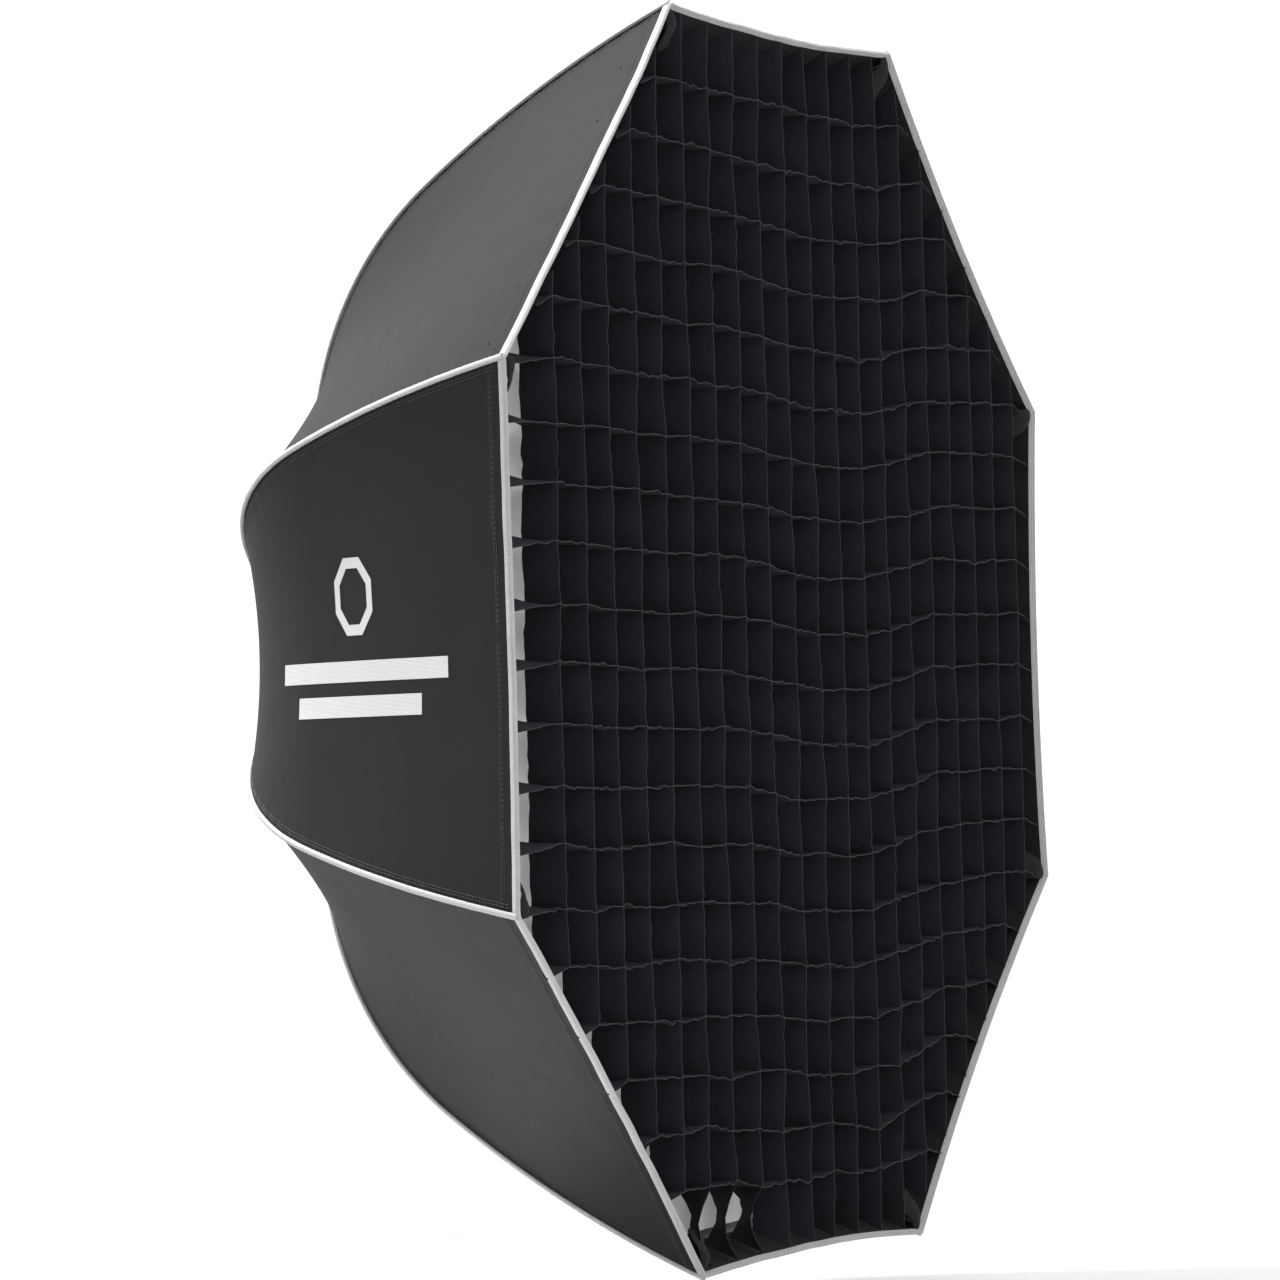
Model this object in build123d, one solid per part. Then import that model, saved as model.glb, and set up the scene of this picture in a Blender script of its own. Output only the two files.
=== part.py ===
from build123d import *
import math
import os

# Eight-sided umbrella softbox with an egg-crate grid, in millimetres.
# Y is the optical axis. The light fastens at the origin and stands towards +Y; the front faces -Y. Z is up.
# Shapes that repeat round the axis are drawn for a rib that lies along +X, then turned to their places.

SIDES = 8
RIM_RADIUS = 600.0          # centre of the canopy to a corner seam at the front edge
STEP = 360.0 / SIDES
HALF = STEP / 2
CORNER_ANGLES = [HALF + STEP * i for i in range(SIDES)]   # a flat side is uppermost

# The seam's curve, from the rim back to the hub: two arcs and a straight, by angle from the optical axis
RIM_SLOPE = 22.0
SHOULDER_SLOPE = 34.0
HUB_SLOPE = 70.0
FLANK_ARC = 1500.0
SHOULDER_ARC = 440.0

# Cloth
CANOPY_INSET = 1.0          # seam curve to the canopy's outer face
CANOPY_THICKNESS = 1.5
CANOPY_HUB_RADIUS = 90.0
PANEL_GAP = 0.4             # between two canopy segments at the middle of a side

# Ribs
RIB_INSET = 9.0             # seam curve to the rib's centre line
RIB_RADIUS = 2.5
RIB_TIP_RADIUS = 4.0
RIB_TIP_SETBACK = 8.0
KNUCKLE_RADIUS = 5.0
KNUCKLE_WIDTH = 6.6
HINGE_RADIUS = 75.0         # circle of the rib hinges
HINGE_FORWARD = 16.0
HINGE_PIN_RADIUS = 2.0
RUNNING = 0.05              # radial clearance of a pin in a moving eye
FOLD_ANGLE = 48.0

# Struts
STRUT_ALONG = 34.0          # hinge to the strut pin, along the rib
STRUT_STANDOFF = 11.0       # rib centre line to the strut pin
STRUT_LENGTH = 52.0
STRUT_WIDTH = 6.6
STRUT_HEIGHT = 5.0
STRUT_EYE_RADIUS = 3.5
STRUT_PIN_RADIUS = 1.5
LUG_THICKNESS = 3.0
FORK_GAP = 3.6
FORK_DEPTH = 12.0

# Light mount
BORE_RADIUS = 49.0
PLATE_RADIUS = 76.0
PLATE_THICKNESS = 4.0
SPIGOT_HEIGHT = 7.0
SPIGOT_WALL = 3.5
LUG_COUNT = 3
LUG_INNER = 61.0
LUG_WALL = 4.0
LUG_REACH = 5.0
LUG_HEIGHT = 10.0
LUG_LIP = 3.0
LUG_SWEEP = 28.0
SCREW_CIRCLE = 69.0
SCREW_RADIUS = 2.0
SCREW_HEAD_RADIUS = 3.6
SCREW_HEAD_HEIGHT = 2.0
SCREW_LENGTH = 12.0

# Crown, guide posts and runner
CROWN_INNER = 50.5
CROWN_OUTER = 81.0
CROWN_FRONT = 27.0
SLOT_WIDTH = 7.4
SLOT_INNER = 67.0
SLOT_BACK = 7.0
HINGE_PIN_LENGTH = 22.0
POST_CIRCLE = 57.5
POST_RADIUS = 3.0
POST_SEAT = 12.0
POST_COUNT = 4
STOP_RING_INNER = 51.0
STOP_RING_OUTER = 64.0
STOP_RING_THICKNESS = 4.0
STOP_GAP = 6.0
RUNNER_INNER = 51.5
RUNNER_OUTER = 72.0
RUNNER_HEIGHT = 14.0
RUNNER_SLOT_INNER = 64.0
RUNNER_SLOT_WIDTH = 8.0
RUNNER_PIVOT = 68.0         # radius at which the strut ends meet the runner
BUTTON_RADIUS = 4.5
BUTTON_INNER = 63.5
BUTTON_OUTER = 77.0
BUTTON_CLEARANCE = 0.1
BUTTON_TRAVEL = 2.0

# Front covers
GRID_RADIUS = 562.0         # centre to a corner
GRID_DEPTH = 35.0
GRID_PITCH = 50.8
GRID_BARS = 20
GRID_CLOTH = 1.5
GRID_BORDER = 3.0
DIFFUSER_RADIUS = 563.0
DIFFUSER_SETBACK = 51.0      # rim to the diffuser's front face
DIFFUSER_THICKNESS = 1.0
BAFFLE_RADIUS = 330.0
BAFFLE_BACK = 190.0
BAFFLE_THICKNESS = 1.0
STRAP_WIDTH = 18.0
STRAP_THICKNESS = 1.5
STRAP_RIB_GAP = 8.0
STRAP_BAFFLE_GAP = 1.0
TAB_WIDTH = 60.0
TAB_THICKNESS = 2.5
TAB_PIVOT_GAP = 6.0
TAB_GRID_GAP = 1.0

# Rear collar
COLLAR_INNER = 82.0
COLLAR_OUTER = 132.0
COLLAR_GAP = 2.0
COLLAR_THICKNESS = 1.2

REACH = 2 * RIM_RADIUS      # longer than anything that is cut


def inward(slope):
    """Unit vector square to the seam curve, towards the inside, where the curve has this slope."""
    return Vector(-math.cos(math.radians(slope)), -math.sin(math.radians(slope)))


def along(slope):
    """Unit vector along the seam curve, from the rim towards the hub."""
    return Vector(-math.sin(math.radians(slope)), math.cos(math.radians(slope)))


# Centres and joints of the seam curve, first with the rim at Y = 0
flank_centre = Vector(RIM_RADIUS, 0) + inward(RIM_SLOPE) * FLANK_ARC
shoulder_start = flank_centre - inward(SHOULDER_SLOPE) * FLANK_ARC
shoulder_centre = shoulder_start + inward(SHOULDER_SLOPE) * SHOULDER_ARC
rib_straight = shoulder_centre - inward(HUB_SLOPE) * (SHOULDER_ARC - RIB_INSET)
rib_run = (rib_straight.X - HINGE_RADIUS) / -along(HUB_SLOPE).X
rim_y = -HINGE_FORWARD - (rib_straight + along(HUB_SLOPE) * rib_run).Y

lift = Vector(0, rim_y)
flank_centre += lift
shoulder_centre += lift
hinge = Vector(HINGE_RADIUS, -HINGE_FORWARD)


def seam_curve(inset, hub_radius):
    """The seam's curve moved inwards by inset, from the rim to hub_radius."""
    flank = CenterArc(flank_centre, FLANK_ARC - inset, RIM_SLOPE, SHOULDER_SLOPE - RIM_SLOPE)
    shoulder = CenterArc(shoulder_centre, SHOULDER_ARC - inset, SHOULDER_SLOPE, HUB_SLOPE - SHOULDER_SLOPE)
    start = shoulder @ 1
    run = (start.X - hub_radius) / -along(HUB_SLOPE).X
    return [flank, shoulder, Line(start, start + along(HUB_SLOPE) * run)]


def between(inset, thickness, hub_radius):
    """The face between two such curves."""
    outer = seam_curve(inset, hub_radius)
    inner = seam_curve(inset + thickness, hub_radius)
    front = Line(outer[0] @ 0, inner[0] @ 0)
    back = Line(outer[-1] @ 1, inner[-1] @ 1)
    return make_face([*outer, back, *inner, front])


def rib_point(distance, standoff=0.0):
    """A point by its distance from the hinge along the rib's straight, and off it towards the inside."""
    return hinge - along(HUB_SLOPE) * distance + inward(HUB_SLOPE) * standoff


def across(centre, radius, width):
    """A cylinder whose axis is square to the rib's plane."""
    return Pos(centre.X, centre.Y, 0) * Cylinder(radius, width)


def turned(shape, angle):
    """The shape turned about the optical axis, from +X towards +Z."""
    return Rot(0, -angle, 0) * shape


def ring(inner, outer, back, front):
    """A flat ring round the optical axis, between two distances in front of the mount face."""
    middle = -(back + front) / 2
    disc = Cylinder(outer, front - back) - Cylinder(inner, front - back)
    return Pos(0, middle, 0) * Rot(90, 0, 0) * disc


def rod(radius, x, back, front):
    """A round rod along the optical axis."""
    return Pos(x, -(back + front) / 2, 0) * Rot(90, 0, 0) * Cylinder(radius, front - back)


def radial_rod(radius, inner, outer, forward):
    """A round rod that points away from the optical axis."""
    return Pos((inner + outer) / 2, -forward, 0) * Rot(0, 90, 0) * Cylinder(radius, outer - inner)


def octagon(radius, back, front):
    """An eight-sided slab across the optical axis."""
    middle = -(back + front) / 2
    plane = Plane(origin=(0, middle, 0), x_dir=(1, 0, 0), z_dir=(0, -1, 0))
    return extrude(plane * RegularPolygon(radius, SIDES, rotation=HALF), (front - back) / 2, both=True)


rim_front = -rim_y
strut_pin = rib_point(STRUT_ALONG, STRUT_STANDOFF)


def strut_state(fold):
    """The strut's angle from the optical axis and the runner's distance ahead, at this fold."""
    arm = strut_pin - hinge
    turn = math.radians(fold)
    x = hinge.X + arm.X * math.cos(turn) + arm.Y * math.sin(turn)
    forward = -(hinge.Y + arm.Y * math.cos(turn) - arm.X * math.sin(turn))
    angle = math.asin((x - RUNNER_PIVOT) / STRUT_LENGTH)
    return math.degrees(angle), forward + STRUT_LENGTH * math.cos(angle)


strut_angle, runner_forward = strut_state(0)
folded_angle, runner_folded = strut_state(FOLD_ANGLE)
stop_ring_back = runner_folded + RUNNER_HEIGHT / 2 + STOP_GAP


def mount_plate():
    plate = ring(BORE_RADIUS, PLATE_RADIUS, 0, PLATE_THICKNESS)
    plate += ring(BORE_RADIUS, BORE_RADIUS + SPIGOT_WALL, -SPIGOT_HEIGHT, 0)
    outline = Polyline(
        (LUG_INNER, 0),
        (LUG_INNER + LUG_WALL, 0),
        (LUG_INNER + LUG_WALL, LUG_HEIGHT - LUG_LIP),
        (LUG_INNER + LUG_WALL + LUG_REACH, LUG_HEIGHT - LUG_LIP),
        (LUG_INNER + LUG_WALL + LUG_REACH, LUG_HEIGHT),
        (LUG_INNER, LUG_HEIGHT),
        close=True,
    )
    lug = Rot(0, LUG_SWEEP / 2, 0) * revolve(make_face(outline), Axis.Y, -LUG_SWEEP)
    for i in range(LUG_COUNT):
        plate += turned(lug, 360 / LUG_COUNT * i + 90)
        plate -= turned(rod(SCREW_RADIUS, SCREW_CIRCLE, 0, PLATE_THICKNESS), screw_angle(i))
        plate -= turned(rod(SCREW_HEAD_RADIUS, SCREW_CIRCLE, 0, SCREW_HEAD_HEIGHT), screw_angle(i))
    return plate


def screw_angle(i):
    """Screws stand between the bayonet lugs."""
    return 360 / LUG_COUNT * i + 90 - 360 / LUG_COUNT / 2


def plate_screws():
    head = rod(SCREW_HEAD_RADIUS, SCREW_CIRCLE, 0, SCREW_HEAD_HEIGHT)
    drive = Pos(SCREW_CIRCLE, 0, 0) * Rot(90, 0, 0) * extrude(
        RegularPolygon(SCREW_RADIUS, 6), SCREW_HEAD_HEIGHT / 2, both=True
    )
    screw = head + rod(SCREW_RADIUS, SCREW_CIRCLE, SCREW_HEAD_HEIGHT, SCREW_LENGTH) - drive
    return Compound(children=[turned(screw, screw_angle(i)) for i in range(LUG_COUNT)])


def crown():
    body = ring(CROWN_INNER, CROWN_OUTER, PLATE_THICKNESS, CROWN_FRONT)
    slot_length = CROWN_OUTER - SLOT_INNER
    slot = Pos(SLOT_INNER + slot_length / 2, -(SLOT_BACK + CROWN_FRONT) / 2, 0) * Box(
        slot_length, CROWN_FRONT - SLOT_BACK, SLOT_WIDTH
    )
    pin_hole = across(hinge, HINGE_PIN_RADIUS, HINGE_PIN_LENGTH)
    for angle in CORNER_ANGLES:
        body -= turned(slot + pin_hole, angle)
    for i in range(POST_COUNT):
        seat = rod(POST_RADIUS, POST_CIRCLE, CROWN_FRONT - POST_SEAT, CROWN_FRONT)
        body -= turned(seat, 360 / POST_COUNT * i)
    for i in range(LUG_COUNT):
        body -= turned(rod(SCREW_RADIUS, SCREW_CIRCLE, PLATE_THICKNESS, SCREW_LENGTH), screw_angle(i))
    return body


def hinge_pins():
    pin = across(hinge, HINGE_PIN_RADIUS, HINGE_PIN_LENGTH)
    return Compound(children=[turned(pin, angle) for angle in CORNER_ANGLES])


def guide_posts():
    post = rod(POST_RADIUS, POST_CIRCLE, CROWN_FRONT - POST_SEAT, stop_ring_back)
    return Compound(children=[turned(post, 360 / POST_COUNT * i) for i in range(POST_COUNT)])


def stop_ring():
    return ring(STOP_RING_INNER, STOP_RING_OUTER, stop_ring_back, stop_ring_back + STOP_RING_THICKNESS)


def runner():
    back = runner_forward - RUNNER_HEIGHT / 2
    front = runner_forward + RUNNER_HEIGHT / 2
    body = ring(RUNNER_INNER, RUNNER_OUTER, back, front)
    slot_length = RUNNER_OUTER - RUNNER_SLOT_INNER
    slot = Pos(RUNNER_SLOT_INNER + slot_length / 2, -runner_forward, 0) * Box(
        slot_length, RUNNER_HEIGHT, RUNNER_SLOT_WIDTH
    )
    for angle in CORNER_ANGLES:
        body -= turned(slot, angle)
    for i in range(POST_COUNT):
        body -= turned(rod(POST_RADIUS + RUNNING, POST_CIRCLE, back, front), 360 / POST_COUNT * i)
    way_inner = BUTTON_INNER - BUTTON_TRAVEL
    way = radial_rod(BUTTON_RADIUS + BUTTON_CLEARANCE, way_inner, RUNNER_OUTER, runner_forward)
    for angle in (0, 180):
        body -= turned(way, angle)
    return body


def release_button(angle):
    button = radial_rod(BUTTON_RADIUS, BUTTON_INNER, BUTTON_OUTER, runner_forward)
    return turned(fillet(button.edges().sort_by(Axis.X)[-1], 1), angle)


def rib():
    curve = seam_curve(RIB_INSET, HINGE_RADIUS)
    flank = CenterArc(
        flank_centre,
        FLANK_ARC - RIB_INSET,
        RIM_SLOPE + math.degrees(RIB_TIP_SETBACK / FLANK_ARC),
        SHOULDER_SLOPE - RIM_SLOPE - math.degrees(RIB_TIP_SETBACK / FLANK_ARC),
    )
    path = Wire([flank, curve[1], curve[2]])
    section = Plane(origin=path @ 0, z_dir=path % 0) * Circle(RIB_RADIUS)
    body = sweep(section, path=path)
    body += Pos(*(path @ 0)) * Sphere(RIB_TIP_RADIUS)
    body += across(hinge, KNUCKLE_RADIUS, KNUCKLE_WIDTH)
    body -= across(hinge, HINGE_PIN_RADIUS + RUNNING, KNUCKLE_WIDTH)
    foot = rib_point(STRUT_ALONG)
    web = Plane.XY * Polygon(
        foot + along(HUB_SLOPE) * 2 * STRUT_EYE_RADIUS,
        foot - along(HUB_SLOPE) * 2 * STRUT_EYE_RADIUS,
        strut_pin - along(HUB_SLOPE) * STRUT_EYE_RADIUS,
        strut_pin + along(HUB_SLOPE) * STRUT_EYE_RADIUS,
        align=None,
    )
    body += extrude(web, LUG_THICKNESS / 2, both=True)
    body += across(strut_pin, STRUT_EYE_RADIUS, LUG_THICKNESS)
    body += across(strut_pin, STRUT_PIN_RADIUS, STRUT_WIDTH)
    return body, path @ 0


def strut():
    """Drawn along +X from its runner end, then laid from the runner to the rib."""
    bar = Pos(STRUT_LENGTH / 2, 0, 0) * Box(STRUT_LENGTH, STRUT_HEIGHT, STRUT_WIDTH)
    bar += Cylinder(STRUT_EYE_RADIUS, STRUT_WIDTH)
    bar += Pos(STRUT_LENGTH, 0, 0) * Cylinder(STRUT_EYE_RADIUS, STRUT_WIDTH)
    bar -= Cylinder(STRUT_PIN_RADIUS, STRUT_WIDTH)
    bar -= Pos(STRUT_LENGTH, 0, 0) * Cylinder(STRUT_PIN_RADIUS + RUNNING, STRUT_WIDTH)
    bar -= Pos(STRUT_LENGTH, 0, 0) * Box(2 * FORK_DEPTH, 2 * STRUT_EYE_RADIUS, FORK_GAP)
    return Pos(RUNNER_PIVOT, -runner_forward, 0) * Rot(0, 0, 90 - strut_angle) * bar


def canopy_segment():
    """The cloth from the middle of one side, over a seam, to the middle of the next side."""
    direction = (-math.sin(math.radians(HALF)), 0, math.cos(math.radians(HALF)))
    profile = between(CANOPY_INSET, CANOPY_THICKNESS, CANOPY_HUB_RADIUS)
    sheet = extrude(profile, RIM_RADIUS / 2, dir=direction)
    keep = Pos(REACH / 2, -REACH / 2 + REACH / 4, -PANEL_GAP / 2 - REACH / 2) * Box(REACH, REACH, REACH)
    half = sheet & turned(keep, HALF)
    return half + mirror(half, Plane.XY)


def cover_tab(tip):
    """A webbing tab between the rib's tip and the front covers' corner."""
    inner = GRID_RADIUS + TAB_GRID_GAP
    length = tip.X - TAB_PIVOT_GAP - inner
    centre = inner + length / 2
    return Pos(centre, tip.Y, 0) * Box(length, TAB_THICKNESS, TAB_WIDTH)


def grid():
    """Upright and level strips of cloth on edge, inside an eight-sided border."""
    frame = octagon(GRID_RADIUS, rim_front - GRID_DEPTH, rim_front)
    middle = rim_front - GRID_DEPTH / 2
    inner = octagon(GRID_RADIUS - GRID_BORDER, rim_front - GRID_DEPTH, rim_front)
    half_count = (GRID_BARS - 1) / 2
    offsets = [GRID_PITCH * (i - half_count) for i in range(GRID_BARS)]
    uprights = [Pos(x, -middle, 0) * Box(GRID_CLOTH, GRID_DEPTH, REACH) for x in offsets]
    levels = [Pos(0, -middle, z) * Box(REACH, GRID_DEPTH, GRID_CLOTH) for z in offsets]
    lattice = (Part() + uprights + levels) & inner
    return frame - inner + lattice


def diffuser():
    front = rim_front - DIFFUSER_SETBACK
    return octagon(DIFFUSER_RADIUS, front - DIFFUSER_THICKNESS, front)


def inner_baffle():
    front = rim_front - BAFFLE_BACK
    return octagon(BAFFLE_RADIUS, front - BAFFLE_THICKNESS, front)


def rib_at(forward):
    """Where the rib's centre line crosses a distance ahead of the mount, on the flank or the shoulder."""
    for centre, radius in ((flank_centre, FLANK_ARC), (shoulder_centre, SHOULDER_ARC)):
        rise = (-forward - centre.Y) / (radius - RIB_INSET)
        slope = math.degrees(math.asin(rise))
        if slope < SHOULDER_SLOPE or centre is shoulder_centre:
            return Vector(centre.X + (radius - RIB_INSET) * math.cos(math.radians(slope)), -forward)


def baffle_strap():
    middle = rim_front - BAFFLE_BACK - BAFFLE_THICKNESS / 2
    outer = rib_at(middle).X - STRAP_RIB_GAP
    inner = BAFFLE_RADIUS + STRAP_BAFFLE_GAP
    return Pos((outer + inner) / 2, -middle, 0) * Box(outer - inner, STRAP_THICKNESS, STRAP_WIDTH)


def rear_collar():
    """A cone of cloth that laps the canopy's rear edge from behind."""
    slope = along(HUB_SLOPE)
    start = seam_curve(-COLLAR_GAP, COLLAR_INNER)[-1] @ 1
    end = start - slope * ((COLLAR_OUTER - COLLAR_INNER) / -slope.X)
    lift_off = inward(HUB_SLOPE) * COLLAR_THICKNESS
    outline = Polyline(start, end, end - lift_off, start - lift_off, close=True)
    return revolve(make_face(outline), Axis.Y)


def write(name, shape):
    shape.label = name
    export_step(shape, f"parts/{name}.step")


os.makedirs("parts", exist_ok=True)
rib_solid, rib_tip = rib()

write("mount_plate", mount_plate())
write("plate_screws", plate_screws())
write("crown", crown())
write("hinge_pins", hinge_pins())
write("guide_posts", guide_posts())
write("stop_ring", stop_ring())
write("runner", runner())
write("release_button_right", release_button(0))
write("release_button_left", release_button(180))
write("rear_collar", rear_collar())
write("grid", grid())
write("diffuser", diffuser())
write("inner_baffle", inner_baffle())
for number, angle in enumerate(CORNER_ANGLES, start=1):
    write(f"rib_{number}", turned(rib_solid, angle))
    write(f"strut_{number}", turned(strut(), angle))
    write(f"canopy_{number}", turned(canopy_segment(), angle))
    write(f"cover_tab_{number}", turned(cover_tab(rib_tip), angle))
    write(f"baffle_strap_{number}", turned(baffle_strap(), angle))

strap_end = rib_at(rim_front - BAFFLE_BACK - BAFFLE_THICKNESS / 2)
print("points in the rib's plane: hinge", hinge, "strut", strut_pin, "tip", rib_tip, "strap", strap_end)
print("strut angle, open and folded:", strut_angle, folded_angle)
print("runner, open and folded:", runner_forward, runner_folded)
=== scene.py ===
import bpy
import bmesh
from math import atan2, ceil, cos, exp, floor, pi, radians, sin, sqrt, tan
from mathutils import Matrix, Vector, noise


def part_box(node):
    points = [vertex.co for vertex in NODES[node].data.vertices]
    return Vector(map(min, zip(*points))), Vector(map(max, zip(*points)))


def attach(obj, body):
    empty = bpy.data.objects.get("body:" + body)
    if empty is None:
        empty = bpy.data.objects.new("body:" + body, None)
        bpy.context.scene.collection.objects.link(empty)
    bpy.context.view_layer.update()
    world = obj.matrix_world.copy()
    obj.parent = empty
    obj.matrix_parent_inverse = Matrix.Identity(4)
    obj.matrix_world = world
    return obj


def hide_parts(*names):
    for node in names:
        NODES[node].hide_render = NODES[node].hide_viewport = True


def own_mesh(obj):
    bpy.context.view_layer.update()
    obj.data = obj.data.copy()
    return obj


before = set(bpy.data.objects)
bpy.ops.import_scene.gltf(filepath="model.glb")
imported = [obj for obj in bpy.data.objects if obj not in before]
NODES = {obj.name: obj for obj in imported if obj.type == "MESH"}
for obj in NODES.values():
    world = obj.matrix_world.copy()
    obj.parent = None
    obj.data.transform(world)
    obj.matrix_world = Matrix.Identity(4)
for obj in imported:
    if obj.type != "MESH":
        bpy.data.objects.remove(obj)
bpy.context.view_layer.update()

# Sizes in metres, the same as in the CAD
SIDES = 8
HALF = radians(22.5)
CORNERS = [HALF + 2 * HALF * i for i in range(SIDES)]
RIM_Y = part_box("grid")[0].y
RIM_R = 0.600
SLOPES = (radians(22), radians(34), radians(70))
FLANK_ARC, SHOULDER_ARC = 1.5, 0.44
FLANK_LENGTH = FLANK_ARC * (SLOPES[1] - SLOPES[0])
SHOULDER_LENGTH = SHOULDER_ARC * (SLOPES[2] - SLOPES[1])
HUB_R = 0.090
GRID_DEPTH = 0.034
GRID_PITCH = 0.0508
GRID_BARS = 20
GRID_CENTRE = (0.021, 0.006)
DIFFUSER_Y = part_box("diffuser")[0].y
BAFFLE_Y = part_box("inner_baffle")[0].y
BAFFLE_R = 0.330

FLANK_CENTRE = (RIM_R - FLANK_ARC * cos(SLOPES[0]), RIM_Y - FLANK_ARC * sin(SLOPES[0]))
SHOULDER_CENTRE = (
    FLANK_CENTRE[0] + (FLANK_ARC - SHOULDER_ARC) * cos(SLOPES[1]),
    FLANK_CENTRE[1] + (FLANK_ARC - SHOULDER_ARC) * sin(SLOPES[1]),
)


def seam(s, inset):
    """(radius, y, slope) of the seam curve at s metres from the rim, moved inwards by inset."""
    if s <= FLANK_LENGTH:
        a, centre, reach, run = SLOPES[0] + s / FLANK_ARC, FLANK_CENTRE, FLANK_ARC, 0
    elif s <= FLANK_LENGTH + SHOULDER_LENGTH:
        a = SLOPES[1] + (s - FLANK_LENGTH) / SHOULDER_ARC
        centre, reach, run = SHOULDER_CENTRE, SHOULDER_ARC, 0
    else:
        a, centre, reach = SLOPES[2], SHOULDER_CENTRE, SHOULDER_ARC
        run = s - FLANK_LENGTH - SHOULDER_LENGTH
    r = centre[0] + (reach - inset) * cos(a) - run * sin(a)
    y = centre[1] + (reach - inset) * sin(a) + run * cos(a)
    return r, y, a


SEAM_LENGTH = FLANK_LENGTH + SHOULDER_LENGTH
SEAM_LENGTH += (seam(SEAM_LENGTH, 0.001)[0] - HUB_R) / sin(SLOPES[2])


def radial(angle):
    return Vector((cos(angle), 0, sin(angle)))


def tangent(angle):
    return Vector((-sin(angle), 0, cos(angle)))


def smooth(x):
    x = min(1.0, max(0.0, x))
    return x * x * (3 - 2 * x)


def slack(s, w):
    """How far the cloth hangs in between two ribs; w is 1 on a rib and 0 in the middle of a panel."""
    x = min(1.0, max(0.0, s / SEAM_LENGTH))
    return (0.0075 * (1 - x) ** 3 + 0.016 * sin(pi * x) ** 1.5) * (1 - w * w)


def panel_point(angle, t, s, inset):
    """A point of the canopy; t runs from -1 to 1 between the middles of the panels beside this rib."""
    side = 1 if t >= 0 else -1
    w = 1 - abs(t)
    r, y, a = seam(s, inset)
    m, e = radial(angle + side * HALF), tangent(angle + side * HALF)
    p = m * (r * cos(HALF)) + e * (-side * r * sin(HALF) * w) + Vector((0, y, 0))
    away = abs(t) * r * sin(HALF)
    ripple = 0.00035 * sin(2 * pi * s / 0.023 + 9 * noise.noise(p * 3)) * exp(-((away / 0.018) ** 2))
    ripple *= smooth(away / 0.004)
    folds = 0.0010 * noise.noise(Vector((p.x * 26, p.y * 5, p.z * 26))) * exp(-s / 0.11)
    swell = 0.0016 * noise.noise(p * 5.5 + Vector((3, 1, 7)))
    hem = -0.0006 * (1 - smooth((s - 0.019) / 0.003))
    d = slack(s, w) + ripple + (folds + swell) * (1 - w ** 4) + hem
    scallop = Vector((0, 0.0045 * (1 - w * w) * (1 - smooth(s / 0.09)), 0))
    return p + scallop + (m * -cos(a) + Vector((0, -sin(a) * cos(HALF), 0))) * d


# Meshes

def build(name, verts, faces, materials, uvs=None, face_materials=None, sharp=35):
    mesh = bpy.data.meshes.new(name)
    mesh.from_pydata([tuple(v) for v in verts], [], faces)
    obj = bpy.data.objects.new(name, mesh)
    bpy.context.scene.collection.objects.link(obj)
    for material in materials if isinstance(materials, (list, tuple)) else [materials]:
        mesh.materials.append(material)
    if face_materials:
        mesh.polygons.foreach_set("material_index", face_materials)
    if uvs:
        layer = mesh.uv_layers.new(name="cloth")
        for loop in mesh.loops:
            layer.data[loop.index].uv = uvs[loop.vertex_index]
    bm = bmesh.new()
    bm.from_mesh(mesh)
    bmesh.ops.recalc_face_normals(bm, faces=bm.faces)
    bm.to_mesh(mesh)
    bm.free()
    mesh.shade_smooth()
    mesh.set_sharp_from_angle(angle=radians(sharp))
    return obj


class Heap:
    """Several closed shapes gathered into one mesh."""

    def __init__(self):
        self.verts, self.faces, self.uvs, self.marks = [], [], [], []

    def shell(self, top, bottom, uvs, mark=0):
        """A closed sheet between two grids of points."""
        rows, cols, start = len(top), len(top[0]), len(self.verts)
        count = rows * cols
        self.verts += [p for row in top for p in row] + [p for row in bottom for p in row]
        self.uvs += [u for row in uvs for u in row] * 2
        faces = []
        for r in range(rows - 1):
            for c in range(cols - 1):
                a = start + r * cols + c
                b, d, e = a + 1, a + cols, a + cols + 1
                faces += [(a, b, e, d), (a + count, d + count, e + count, b + count)]
        edge = [c for c in range(cols)] + [r * cols + cols - 1 for r in range(1, rows)]
        edge += [(rows - 1) * cols + c for c in range(cols - 2, -1, -1)]
        edge += [r * cols for r in range(rows - 2, 0, -1)]
        for i, a in enumerate(edge):
            b = edge[(i + 1) % len(edge)]
            faces.append((start + b, start + a, start + a + count, start + b + count))
        self.faces += faces
        self.marks += [mark] * len(faces)

    def tube(self, rings, uvs, mark=0, marks=None):
        """A closed tube through rings of points, with flat ends; marks gives each side's material."""
        n, start = len(rings[0]), len(self.verts)
        self.verts += [p for ring in rings for p in ring]
        self.uvs += [u for row in uvs for u in row]
        for k in range(len(rings) - 1):
            for i in range(n):
                j = (i + 1) % n
                a, b = start + k * n, start + (k + 1) * n
                self.faces.append((a + i, a + j, b + j, b + i))
                self.marks.append(marks[i] if marks else mark)
        last = start + (len(rings) - 1) * n
        self.faces += [tuple(start + i for i in range(n))[::-1], tuple(last + i for i in range(n))]
        self.marks += [mark, mark]

    def build(self, name, materials, sharp=35):
        return build(name, self.verts, self.faces, materials, self.uvs, self.marks, sharp)


def soft(obj, number, body):
    """Carried by a body of one rib's."""
    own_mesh(obj)
    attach(obj, f"{body}_{number}")
    return obj


# Materials

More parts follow.
